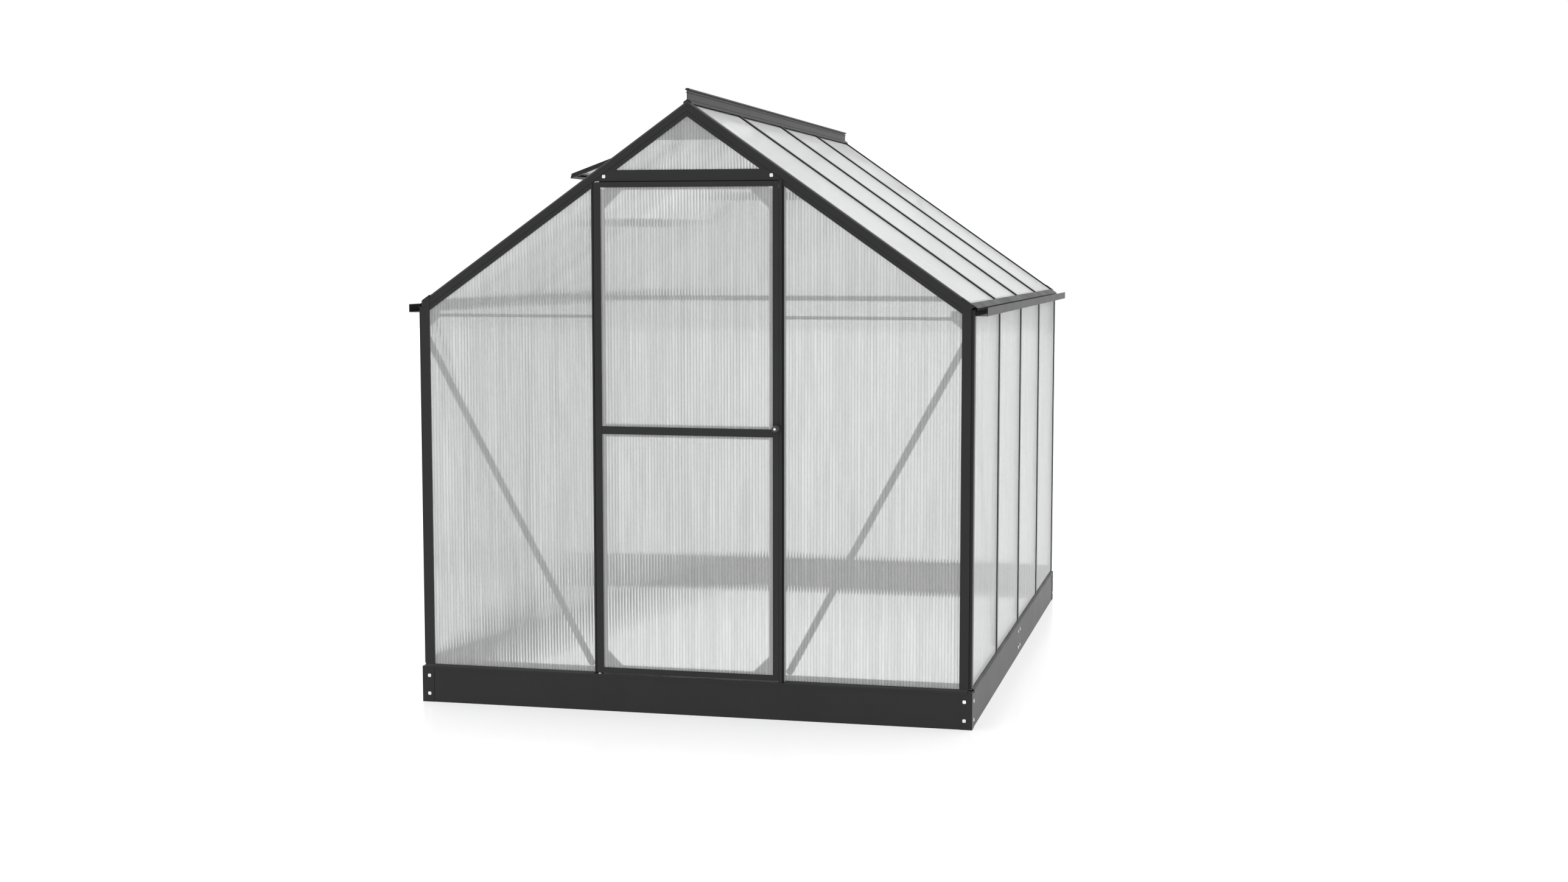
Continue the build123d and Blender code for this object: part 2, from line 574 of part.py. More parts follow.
def side_brace():
    """Strap in the right wall's front bay, from the corner's top to the first bar's foot."""
    inset = BRACE_WIDTH / 2 + 2
    top = (BEAM_Y + inset - HALF_L, GUTTER_Z - inset)
    foot = (GRID[0] - inset - HALF_L, BAR_FOOT + inset)
    x = WALL_X - WALL_WEB - CLEAR - BRACE_THICK
    upright = Plane(origin=(x, 0, 0), x_dir=(0, 1, 0), z_dir=(1, 0, 0))
    return upright * strap(top, foot, BRACE_THICK)


def eave_gusset():
    """Plate behind the girt and the post at the front right eave."""
    d = LIP_Y1 + 2 * CLEAR + LIP
    x1, z1 = GUSSET_X, EAVE_Z - 1 - LIP - CLEAR
    x0, z0 = x1 - EAVE_GUSSET, z1 - EAVE_GUSSET
    outline = [(x0, z1), (x1, z1), (x1, z0), (POST_X, z0), (x0, EAVE_Z - GIRT_DROP)]
    return prism(outline, d, d + GUSSET_THICK)


def apex_plate():
    """Plate across the front rafters under the ridge."""
    z0 = APEX_Z - APEX_PLATE_DROP
    a = APEX_PLATE_HALF
    edge = SEAT_BOTTOM - CLEAR
    outline = [(-a, z0), (a, z0), (a, roof_z(a, edge)), (0, roof_z(0, edge)), (-a, roof_z(a, edge))]
    d = FRAME_INSET + RAFTER_BOX + CLEAR
    return prism(outline, d, d + GUSSET_THICK)


def corner_cap():
    """Bevelled cap over the front right post, closing the rafter's lower end."""
    z0 = EAVE_Z + CLEAR
    outline = [(POST_X, z0), (FRAME_X, z0), (FRAME_X, roof_z(FRAME_X, 1)), (POST_X, roof_z(POST_X, 1))]
    cap = prism(outline, FRAME_INSET - 1, FRAME_INSET + RAFTER_BOX)
    return chamfer(cap.edges().filter_by(Axis.Z).sort_by(Axis.Y)[:2].sort_by(Axis.X)[-1], 5)


# ---------------------------------------------------------------- eaves and ridge
def gutter_beam():
    """Right eave beam with its gutter: wall-sheet groove, roof-sheet seat and open trough."""
    z = GUTTER_Z
    start, stop = GUTTER_START, LENGTH + GUTTER_PAST
    plate_z = EAVE_Z
    trough = [block(GUTTER_X0, GUTTER_X1, start, stop, z, z + GUTTER_WALL),
              block(GUTTER_X0, GUTTER_X0 + GUTTER_WALL, start, stop, z, plate_z + 2 * WALL),
              block(GUTTER_X1 - GUTTER_WALL, GUTTER_X1, start, stop, z, z + GUTTER_HEIGHT)]
    a, b = BEAM_Y, LENGTH - BEAM_Y
    lip = block(SHEET_X1 + CLEAR, GUTTER_X0 + 0.5, a, b, z, plate_z + WALL)
    plate = block(BEAM_X0, GUTTER_X0 + 0.5, a, b, plate_z, plate_z + WALL)
    inner_lip = block(LIP_X0, LIP_X1, a, b, plate_z - 15, plate_z + WALL)
    seat_end = SHEET_X1 - 1.4
    seat = slab(BEAM_X0, seat_end, SEAT_BOTTOM, SEAT_TOP, a, b)
    back = block(BEAM_X0, BEAM_X0 + WALL, a, b, plate_z - 15, roof_z(BEAM_X0 + WALL, SEAT_BOTTOM) + 1)
    nose = block(seat_end - WALL, seat_end, a, b, plate_z, roof_z(seat_end, SEAT_BOTTOM) + 1)
    return join(*trough, lip, plate, inner_lip, back, nose, seat)


def eave_flashing():
    """Right eave flashing over the lower edge of the roof sheets."""
    x0, x1 = FLASH_X0, FLASH_X0 + FLASHING
    a = FRAME_INSET + RAFTER_BOX + 2 * CLEAR
    b = LENGTH - a
    top = slab(x0, x1, -LIP, 0, a, b)
    foot = slab(x0, x0 + LIP, -ROOF_CAP, -LIP / 2, a, b)
    drip = slab(x1 - LIP, x1, -8, 0, a, b)
    return join(top, foot, drip)


def ridge_beam():
    """Ridge: drop web with sheet seats between the gables, V flange and capped fin over them."""
    a = FRAME_INSET + RAFTER_BOX + RAFTER_SEAT + CLEAR
    low = roof_z(0, SEAT_TOP) - RIDGE_DROP
    foot = WEB
    top = APEX_Z + RIDGE_RISE
    cap_z = top - RIDGE_CAP_THICK
    web = block(-WEB / 2, WEB / 2, a, LENGTH - a, low, roof_z(0, 0))
    flange = block(-RIDGE_SEAT + 4, RIDGE_SEAT - 4, a, LENGTH - a, low, low + foot)
    seats = both_sides(slab(0, RIDGE_SEAT, SEAT_BOTTOM, SEAT_TOP, a, LENGTH - a))
    d0, d1 = RIDGE_INSET, LENGTH - RIDGE_INSET
    vee = both_sides(slab(0, V_HALF, CLEAR, CLEAR + V_THICK, d0, d1))
    fin = block(-WEB / 2, WEB / 2, d0, d1, roof_z(WEB / 2, CLEAR) + 1, cap_z + 1)
    link = block(-WEB / 2, WEB / 2, a, LENGTH - a, roof_z(0, -2), roof_z(0, V_THICK))
    rib = block(-4, 4, d0, d1, cap_z - 8.0, cap_z - 5.5)
    cap = block(-RIDGE_CAP_HALF, RIDGE_CAP_HALF, d0, d1, cap_z, top)
    cap = fillet(cap.edges().filter_by(Axis.Y).sort_by(Axis.Z)[-2:], RIDGE_CAP_THICK - 1)
    return join(web, flange, *seats, *vee, link, fin, rib, cap)


def roof_bar(d):
    """Glazing bar of the right slope, centred on a depth."""
    cap = slab(WEB / 2 + 3.5, FLASH_X0 - CLEAR, -ROOF_CAP, 0, d - CAP_HALF, d + CAP_HALF)
    a, b = RIDGE_SEAT + CLEAR, BEAM_X0 - CLEAR
    web = slab(a, b, -ROOF_WEB, -1, d - WEB / 2, d + WEB / 2)
    seat = slab(a, b, SEAT_BOTTOM, SEAT_TOP, d - SEAT_HALF, d + SEAT_HALF)
    return join(cap, web, seat)


# ---------------------------------------------------------------- sheets
def bay_edges(bay, first, half_web):
    """Depths between which a sheet fits in a bay of the side glazing."""
    a = first + EDGE_GAP if bay == 0 else GRID[bay - 1] + half_web + EDGE_GAP
    b = LENGTH - first - EDGE_GAP if bay == BAY_COUNT - 1 else GRID[bay] - half_web - EDGE_GAP
    return a, b


def wall_sheets():
    """Sheets of the right wall."""
    sheets = []
    first = FRAME_INSET + STEP_BACK + 9.0
    for bay in range(BAY_COUNT):
        a, b = bay_edges(bay, first, WEB / 2)
        sheets.append(block(SHEET_X0, SHEET_X1, a, b, SHEET_Z, EAVE_Z - 0.5))
    return sheets


def roof_sheets(vent_bay):
    """Sheets of the right slope; under a vent only the part below its sill bar."""
    sheets = []
    first = FRAME_INSET + RAFTER_BOX
    for bay in range(BAY_COUNT):
        a, b = bay_edges(bay, first, WEB / 2)
        x0 = WEB / 2 + 3.0
        if bay == vent_bay:
            x0 = SILL_BAR_X + WALL + EDGE_GAP
        sheets.append(slab(x0, FRAME_X + 1.6, ROOF_BOTTOM, ROOF_TOP, a, b))
    return sheets


def gable_sheet(x0):
    """Right gable sheet with its sloping top edge, from x0 to the corner post."""
    x1 = LIP_X0 - 6.0 - EDGE_GAP
    w = -RAFTER_FACE + SHEET_TUCK
    outline = [(x0, SHEET_Z), (x1, SHEET_Z), (x1, roof_z(x1, w)), (x0, roof_z(x0, w))]
    return prism(outline, SHEET_Y0, SHEET_Y1)


def top_sheet():
    """Triangular sheet over the header."""
    z0 = HEADER_Z + HEADER_HEIGHT - 9.0 + 0.5
    w = -RAFTER_FACE + SHEET_TUCK
    a = roof_x(z0, w)
    return prism([(-a, z0), (a, z0), (0, roof_z(0, w))], SHEET_Y0, SHEET_Y1)


def front_sheets():
    hinge_side = left(gable_sheet(-HINGE_POST_X + LIP + EDGE_GAP))
    return [hinge_side, gable_sheet(LOCK_POST_EDGE + EDGE_GAP), top_sheet()]


def rear_sheets():
    x = BEAM_X - CAP_HALF
    side = gable_sheet(x + WEB / 2 + EDGE_GAP)
    inner = x - WEB / 2 - EDGE_GAP
    middle = block(-inner, inner, SHEET_Y0, SHEET_Y1, SHEET_Z, HEADER_Z - 0.5)
    return [rear(s) for s in (side, left(side), middle, top_sheet())]


# ---------------------------------------------------------------- door
def hinge_stile():
    """Door stile on the hinge side, with a bored plug at each end of its box."""
    x0 = DOOR_X0
    box1 = x0 + STILE_BOX + 1.0
    d0, d1 = LEAF_FRONT, LEAF_FRONT + LEAF_THICK
    z0 = DOOR_BOTTOM
    plate = block(x0, x0 + HINGE_STILE, d0, d0 + LEAF_PLATE, z0, DOOR_TOP)
    tube = block(x0, box1, d0, d1, z0, STILE_TOP)
    bore = block(x0 + LIP, box1 - LIP, d0 + LIP, d1 - LIP, z0 + PLUG, STILE_TOP - PLUG)
    lip = block(box1 - LIP, x0 + HINGE_STILE + STILE_LIP, LEAF_LIP_AT, LEAF_LIP_AT + LIP, z0, STILE_TOP)
    holes = [Pos(PIVOT_X, depth_y(PIVOT_DEPTH), z) * Cylinder(PIVOT_R + PIVOT_CLEAR, 2 * PLUG - 4)
             for z in (z0, STILE_TOP)]
    return join(plate, tube - bore, lip) - holes[0] - holes[1]


def depth_y(d):
    return d - HALF_L


def lock_stile():
    """Door stile on the lock side, bored for the knob's bolt."""
    x1 = DOOR_X1
    box0 = x1 - STILE_BOX
    d0, d1 = LEAF_FRONT, LEAF_FRONT + LEAF_THICK
    z0 = DOOR_BOTTOM
    plate = block(x1 - LOCK_STILE, x1, d0, d0 + LEAF_PLATE, z0, DOOR_TOP)
    tube = block(box0, x1, d0, d1, z0, STILE_TOP)
    hollow = block(box0 + LIP, x1 - LIP, d0 + LIP, d1 - LIP, z0 - 1, STILE_TOP + 1)
    lip = block(x1 - LOCK_STILE - STILE_LIP, box0 + LIP, LEAF_LIP_AT, LEAF_LIP_AT + LIP, z0, STILE_TOP)
    hole = rod_y(KNOB_X, KNOB_Z, SHAFT_R + PIVOT_CLEAR, d0 - 1, d1 + 1)
    return join(plate, tube - hollow, lip) - hole


def door_rail(z0, z1, lip_down, lip_up):
    """Door rail between the stiles; its lips reach past the box where a sheet meets it."""
    a, b = DOOR_X0 + HINGE_STILE + CLEAR, DOOR_X1 - LOCK_STILE - CLEAR
    c, d = a + STILE_LIP, b - STILE_LIP
    low = z0 + (4.5 if lip_down else 0)
    high = z1 - (4.5 if lip_up else 0)
    d0, d1 = LEAF_FRONT, LEAF_FRONT + LEAF_THICK
    plate = block(a, b, d0, d0 + LEAF_PLATE, z0, z1)
    tube = block(c, d, d0, d1, low, high) - block(c - 1, d + 1, d0 + LIP, d1 - LIP, low + LIP, high - LIP)
    lip_z0 = z0 - (RAIL_LIP if lip_down else 0)
    lip_z1 = z1 + (RAIL_LIP if lip_up else 0)
    web = block(c, d, LEAF_LIP_AT, LEAF_LIP_AT + LIP, lip_z0, lip_z1)
    return join(plate, tube, web)


def door_rails():
    mid = BASE_HEIGHT + MID_RAIL_RISE
    return [door_rail(DOOR_BOTTOM, DOOR_BOTTOM + RAIL_FACE + 1, False, True),
            door_rail(mid, mid + MID_RAIL_HEIGHT, True, True),
            door_rail(DOOR_TOP - RAIL_FACE, DOOR_TOP, True, False)]


def door_sheets():
    """Upper and lower sheets of the door."""
    a = DOOR_X0 + STILE_BOX + 1.0 + EDGE_GAP
    b = DOOR_X1 - STILE_BOX - EDGE_GAP
    d0 = LEAF_FRONT + LEAF_PLATE + CLEAR
    mid = BASE_HEIGHT + MID_RAIL_RISE
    inset = 4.5 - 0.5
    spans = [(DOOR_BOTTOM + RAIL_FACE + 1 - inset, mid + inset),
             (mid + MID_RAIL_HEIGHT - inset, DOOR_TOP - RAIL_FACE + inset)]
    return [block(a, b, d0, d0 + SHEET, z0, z1) for z0, z1 in spans]


def door_gussets():
    """Corner plates behind the door's lips."""
    a = DOOR_X0 + STILE_BOX + 1.0 + CLEAR
    b = DOOR_X1 - STILE_BOX - CLEAR
    d = LEAF_LIP_AT + LIP + CLEAR
    low = DOOR_BOTTOM + RAIL_FACE + 1 - 4.5 + CLEAR
    high = STILE_TOP - CLEAR
    g = DOOR_GUSSET
    corners = [(a, low, 1, 1), (b, low, -1, 1), (a, high, 1, -1), (b, high, -1, -1)]
    return [prism([(x, z), (x + sx * g, z), (x, z + sz * g)], d, d + GUSSET_THICK)
            for x, z, sx, sz in corners]


def pivot_pins():
    """Fixed pins that the hinge stile turns on: one up from the sill, one down from the post's plate."""
    y = depth_y(PIVOT_DEPTH)
    reach = PLUG - 6
    low = SILL_Z + SILL_PLATE
    foot = Pos(PIVOT_X, y, (low + DOOR_BOTTOM + reach) / 2) * Cylinder(PIVOT_R, DOOR_BOTTOM + reach - low)
    collar = Pos(PIVOT_X, y, low + 2) * Cylinder(PIVOT_R + 3, 4)
    top = JAMB_TOP - WALL
    head = Pos(PIVOT_X, y, (top + STILE_TOP - reach) / 2) * Cylinder(PIVOT_R, top - STILE_TOP + reach)
    return [foot + collar, head]


def knob():
    """Round pull knob with a flared base, bored for its bolt."""
    d = LEAF_FRONT - CLEAR
    outline = [(KNOB_R, 0), (KNOB_R, 2.5), (6.5, 5), (6.0, 10), (9.5, 14), (10.5, 18)]
    with BuildPart() as turned:
        with BuildSketch(Plane.XZ):
            with BuildLine():
                Polyline([(0, 0)] + outline[:2])
                Spline(outline[1:])
                Line(outline[-1], (KNOB_R, KNOB_LENGTH - 5))
                RadiusArc((KNOB_R, KNOB_LENGTH - 5), (KNOB_R - 5, KNOB_LENGTH), -5)
                Line((KNOB_R - 5, KNOB_LENGTH), (0, KNOB_LENGTH))
                Line((0, KNOB_LENGTH), (0, 0))
            make_face()
        revolve(axis=Axis.Z)
    body = turned.part - Pos(0, 0, KNOB_LENGTH / 2) * Cylinder(SHAFT_R, KNOB_LENGTH + 2)
    body = body - Pos(0, 0, KNOB_LENGTH - 1.5) * Cylinder(4.6, 3.0)
    return Plane(origin=(KNOB_X, depth_y(d), KNOB_Z), z_dir=(0, -1, 0)) * body


def knob_bolt():
    """Bolt through the knob and the stile, with the latch tongue's seat at its end."""
    head_d = LEAF_FRONT - CLEAR - KNOB_LENGTH + 0.5
    end = STOP_DEPTH + LIP + 1 + TONGUE[2] + 2
    shank = rod_y(KNOB_X, KNOB_Z, SHAFT_R, head_d, end)
    head = rod_y(KNOB_X, KNOB_Z, 4.5, head_d, head_d + 2.5)
    return shank + fillet(head.edges().sort_by(Axis.Y)[0], 1.2)


def latch_tongue():
    """Tongue on the knob's bolt, hanging clear of the post's stop until it is turned."""
    width, reach, thick = TONGUE
    d = STOP_DEPTH + LIP + 1
    z = KNOB_Z
    arm = block(KNOB_X - width / 2, KNOB_X + width / 2, d, d + thick, z - reach, z + width / 2)
    return arm - rod_y(KNOB_X, z, SHAFT_R, d - 1, d + thick + 1)


# ---------------------------------------------------------------- vent, drawn closed on the right slope
def hinge_point():
    return HINGE_X, roof_z(HINGE_X, HINGE_W)


def hinge_rail():
    """Vent's top rail with its hinge knuckle."""
    x, z = hinge_point()
    a, b = VENT_Y0 + VENT_WALL + CLEAR, VENT_Y1 - VENT_WALL - CLEAR
    x0 = HINGE_X + RAIL_START
    top = slab(HINGE_X, x0 + VENT_RAIL, VENT_TOP - VENT_WALL, VENT_TOP, a, b)
    leg = slab(x0, x0 + VENT_WALL, VENT_LIFT, VENT_TOP, a, b)
    foot = slab(x0, x0 + VENT_RAIL * 0.6, VENT_LIFT, VENT_LIFT + LIP, a, b)
    knuckle = rod_y(x, z, KNUCKLE_R, a, b)
    return join(top, leg, foot, knuckle) - rod_y(x, z, ROD_R + ROD_CLEAR, a - 1, b + 1)


def hinge_rod():
    """Fixed hinge rod with an ear at each end, seated on the ridge's fin."""
    x, z = hinge_point()
    a, b = VENT_Y0, VENT_Y1
    ears = []
    for d in (a - EAR, b):
        plate = slab(WEB / 2, HINGE_X + KNUCKLE_R, CLEAR * 2 + V_THICK, HINGE_W + KNUCKLE_R, d, d + EAR)
        ears.append(plate)
    return join(rod_y(x, z, ROD_R, a - EAR, b + EAR), *ears)


def vent_side_rails():
    x0, x1 = HINGE_X + RAIL_START, VENT_END
    rails = []
    for d, inward in ((VENT_Y0, 1), (VENT_Y1, -1)):
        def span(width):
            return sorted((d, d + inward * width))
        web = slab(x0, x1, VENT_LIFT, VENT_TOP, *span(VENT_WALL))
        top = slab(x0 + VENT_RAIL + CLEAR, x1 - VENT_RAIL - CLEAR, VENT_TOP - VENT_WALL, VENT_TOP, *span(18))
        foot = slab(x0 + VENT_RAIL + CLEAR, x1 - VENT_RAIL - CLEAR, VENT_LIFT, VENT_LIFT + LIP, *span(14))
        rails.append(join(web, top, foot))
    return rails


def vent_bottom_rail():
    """Vent's lower rail, with the tab and pin that carry the stay."""
    a, b = VENT_Y0 + VENT_WALL + CLEAR, VENT_Y1 - VENT_WALL - CLEAR
    x1 = VENT_END
    top = slab(x1 - VENT_RAIL, x1, VENT_TOP - VENT_WALL, VENT_TOP, a, b)
    leg = slab(x1 - VENT_WALL, x1, VENT_LIFT, VENT_TOP, a, b)
    foot = slab(x1 - 16, x1, VENT_LIFT, VENT_LIFT + LIP, a, b)
    px, pz = stay_pivot()
    side = VENT_MID - STAY_THICK / 2 - CLEAR
    tab = slab(px - STAY_HALF, x1 - 14, VENT_LIFT, VENT_LIFT + LIP, side - WALL, side)
    ear = slab(px - STAY_HALF, px + STAY_HALF, STAY_W - 6, VENT_LIFT + LIP, side - WALL, side)
    pin = rod_y(px, pz, ROD_R, side - 1, VENT_MID + STAY_THICK / 2 + 1)
    return join(top, leg, foot, tab, ear, pin)


def vent_sheet():
    a, b = VENT_Y0 + VENT_WALL + EDGE_GAP, VENT_Y1 - VENT_WALL - EDGE_GAP
    x0 = HINGE_X + RAIL_START + VENT_WALL + EDGE_GAP
    x1 = VENT_END - VENT_WALL - EDGE_GAP
    top = VENT_TOP - VENT_WALL - CLEAR
    return slab(x0, x1, top - SHEET, top, a, b)


def stay_pivot():
    x = VENT_END - STAY_BACK
    return x, roof_z(x, STAY_W)


def stay_point(distance):
    """A point of the stay's centre line, its vent closed, as (x, z)."""
    x, z = stay_pivot()
    lean = PITCH + radians(STAY_TILT)
    return x - distance * sin(lean), z - distance * cos(lean)


def vent_stay():
    """Perforated stay arm, hanging inwards from the vent's lower rail."""
    middle = stay_point(STAY_LENGTH / 2)
    flat = SlotCenterToCenter(STAY_LENGTH - STAY_HALF, 2 * STAY_HALF)
    lean = PITCH + radians(STAY_TILT)
    across = Plane(origin=(middle[0], depth_y(VENT_MID) + STAY_THICK / 2, middle[1]),
                   x_dir=(sin(lean), 0, cos(lean)), z_dir=(0, -1, 0))
    arm = extrude(across * flat, amount=STAY_THICK)
    d0, d1 = VENT_MID - STAY_THICK, VENT_MID + STAY_THICK
    bore = rod_y(*stay_pivot(), ROD_R + ROD_CLEAR, d0, d1)
    arm = arm - bore
    for i in range(STAY_HOLES):
        arm = arm - rod_y(*stay_point(STAY_LENGTH - STAY_HALF - i * 30.0 - 3.0), PEG_R + 0.5, d0, d1)
    return arm


def opened(piece):
    """A closed right-slope vent piece, moved to the left slope and swung open to rest."""
    x, z = hinge_point()
    axis = Axis((-x, 0, z), (0, 1, 0))
    return left(piece).rotate(axis, VENT_ANGLE)


def sill_bar():
    """Bar across the vent's bay that carries the top of the short sheet."""
    a = BAY_INSET + BAY * VENT_BAY + CAP_HALF + CLEAR
    b = BAY_INSET + BAY * (VENT_BAY + 1) - CAP_HALF - CLEAR
    x = SILL_BAR_X
    web = slab(x, x + WALL, -ROOF_WEB, -0.5, a, b)
    cap = slab(x, x + 18, -ROOF_CAP, -0.5, a, b)
    seat = slab(x, x + 20, SEAT_BOTTOM, SEAT_TOP, a, b)
    return join(web, cap, seat)


def peg_bracket():
    """Bracket and peg that the stay's hole hooks on, beside the arm at rest."""
    x, z = hinge_point()
    px, pz = stay_point(STAY_LENGTH - STAY_HALF - 3.0)
    turn = radians(VENT_ANGLE)
    dx, dz = px - x, pz - z
    peg_x = x + dx * cos(turn) - dz * sin(turn)
    peg_z = z + dx * sin(turn) + dz * cos(turn)
    side = VENT_MID + STAY_THICK / 2
    w = (peg_z - roof_z(peg_x, 0)) * cos(PITCH)
    plate = slab(peg_x - 6, SILL_BAR_X, min(w - 6, -14), -1.5, side + 3, side + 3 + WALL)
    return plate + rod_y(peg_x, peg_z, PEG_R, side + 0.4, side + 4)


# ---------------------------------------------------------------- all the nodes
def build():
    base_places = base_bolt_places()
    head_places = header_bolt_places()
    near_board = drilled(end_board(), base_places)
    right_boards = [drilled(b, base_places) for b in side_boards()]
    post = corner_post()
    rafter = gable_rafter()
    latch_side_rafter = front_rafter(LOCK_POST_X)
    hinge_side_rafter = front_rafter(-HINGE_POST_X)
    far_rafter = drilled(rafter, head_places)
    beam = gutter_beam()
    return {
        "foundation_front": [near_board],
        "foundation_rear": [rear(near_board)],
        "foundation_right": right_boards,
        "foundation_left": [left(b) for b in right_boards],
        "foundation_corner_angles": four_corners(drilled(corner_angle(), base_places)),
        "bolts": bolts(base_places, ANGLE_WALL + 2 * STEEL) + bolts(head_places, 2 * WALL),
        "sill_front": [door_sill()],
        "sill_rear": [rear(gable_sill())],
        "sill_right": [side_sill()],
        "sill_left": [left(side_sill())],
        "corner_post_front_right": [post],
        "corner_post_front_left": [left(post)],
        "corner_post_rear_right": [rear(post)],
        "corner_post_rear_left": [rear(left(post))],
        "door_post_hinge_side": [hinge_post()],
        "door_post_latch_side": [latch_post()],
        "rear_gable_bars": [rear(s) for s in both_sides(rear_stud())],
        "wall_bars_right": [wall_bar(d) for d in GRID],
        "wall_bars_left": [left(wall_bar(d)) for d in GRID],
        "eave_gutter_right": [beam],
        "eave_gutter_left": [left(beam)],
        "eave_flashings": both_sides(eave_flashing()),
        "rafter_front_right": [latch_side_rafter],
        "rafter_front_left": [left(hinge_side_rafter)],
        "rafter_rear_right": [rear(far_rafter)],
        "rafter_rear_left": [rear(left(far_rafter))],
        "ridge_beam": [ridge_beam()],
        "roof_bars_right": [roof_bar(d) for d in GRID],
        "roof_bars_left": [left(roof_bar(d)) for d in GRID],
        "header_front": [drilled(door_header(), head_places)],
        "header_rear": [rear(drilled(header(), head_places))],
        "gable_girts": both_sides(front_girt()) + [rear(rear_girt())],
        "gable_braces": four_corners(gable_brace()),
        "side_braces": four_corners(side_brace()),
        "eave_gussets": four_corners(eave_gusset()),
        "apex_plates": [apex_plate(), rear(apex_plate())],
        "eave_corner_caps": four_corners(corner_cap()),
        "front_sheets": front_sheets(),
        "rear_sheets": rear_sheets(),
        "wall_sheets_right": wall_sheets(),
        "wall_sheets_left": [left(s) for s in wall_sheets()],
        "roof_sheets_right": roof_sheets(None),
        "roof_sheets_left": [left(s) for s in roof_sheets(VENT_BAY)],
        "vent_sill_bar": [left(sill_bar())],
        "vent_peg_bracket": [left(peg_bracket())],
        "vent_hinge_rod": [left(hinge_rod())],
        "vent_hinge_rail": [opened(hinge_rail())],
        "vent_side_rails": [opened(r) for r in vent_side_rails()],
        "vent_bottom_rail": [opened(vent_bottom_rail())],
        "vent_sheet": [opened(vent_sheet())],
        "vent_stay": [opened(vent_stay())],
        "door_hinge_stile": [hinge_stile()],
        "door_lock_stile": [lock_stile()],
        "door_rails": door_rails(),
        "door_sheets": door_sheets(),
        "door_gussets": door_gussets(),
        "door_pivot_pins": pivot_pins(),
        "door_knob": [knob()],
        "door_knob_bolt": [knob_bolt()],
        "door_latch_tongue": [latch_tongue()],
    }


def write(nodes):
    os.makedirs("parts", exist_ok=True)
    for name, pieces in nodes.items():
        solids = [s for piece in pieces for s in piece.solids()]
        shape = solids[0] if len(solids) == 1 else Compound(children=solids)
        export_step(shape, f"parts/{name}.step")


write(build())
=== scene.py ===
"""Looks for the walk-in greenhouse: coated frame, fluted twin-wall sheets, bolts, knob and studio."""

import json
import math

import bpy
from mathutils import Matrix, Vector


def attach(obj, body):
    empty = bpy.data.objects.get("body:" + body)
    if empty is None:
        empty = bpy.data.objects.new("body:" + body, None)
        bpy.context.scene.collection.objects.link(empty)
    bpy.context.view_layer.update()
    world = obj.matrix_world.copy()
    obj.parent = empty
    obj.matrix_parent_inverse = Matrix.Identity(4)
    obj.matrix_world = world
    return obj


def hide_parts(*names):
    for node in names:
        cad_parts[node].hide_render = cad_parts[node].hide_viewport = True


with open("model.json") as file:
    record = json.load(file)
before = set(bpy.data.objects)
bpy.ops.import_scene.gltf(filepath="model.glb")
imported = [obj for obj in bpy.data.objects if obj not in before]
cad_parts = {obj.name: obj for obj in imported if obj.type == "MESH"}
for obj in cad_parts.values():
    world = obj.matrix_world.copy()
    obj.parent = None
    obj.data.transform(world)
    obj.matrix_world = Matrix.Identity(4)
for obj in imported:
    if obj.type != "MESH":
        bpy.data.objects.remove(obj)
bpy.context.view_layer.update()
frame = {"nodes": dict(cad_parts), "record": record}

FLUTE = 0.010               # width of one flute of the twin-wall sheet
FLUTE_RIPPLE = 0.0010       # how far a sheet's skin dips over each rib
FLUTE_STEPS = 6             # points across one flute
CUT_EDGE = 0.0015           # row of points beside a sheet's cut edge, so its skin stays flat to the end
THIN_END = 0.0005           # shortest a sheet gets where its outline runs to a point
SAME_PLACE = 1e-9           # places across a sheet nearer than this are one
MERGE_DIGITS = 6            # decimals kept when points are matched
UP = Vector((0.0, 0.0, 1.0))
ALONG_RIDGE = Vector((0.0, 1.0, 0.0))

ANTHRACITE = (0.007, 0.007, 0.0074)
DUST = (0.20, 0.195, 0.185)
WHITE = (1.0, 1.0, 1.0)

FLOOR_SIZE = 60.0
FLOOR_DROP = 0.0006         # floor under the foundation's lowest face
SUNS = (                    # name, direction towards the light, spread in degrees, strength
    ("key_sun", (-0.62, -0.35, 0.75), 60.0, 0.60),
    ("roof_sun", (0.03, 0.25, 0.95), 40.0, 1.50),
)
CAMERA_AT = (1.7705, -7.4719, 1.4839)
CAMERA_YAW = 13.177         # degrees to the left of straight ahead
CAMERA_PITCH = -5.291       # degrees, down
CAMERA_LENS = 46.94
CAMERA_SENSOR = 36.0
CAMERA_REACH = 200.0


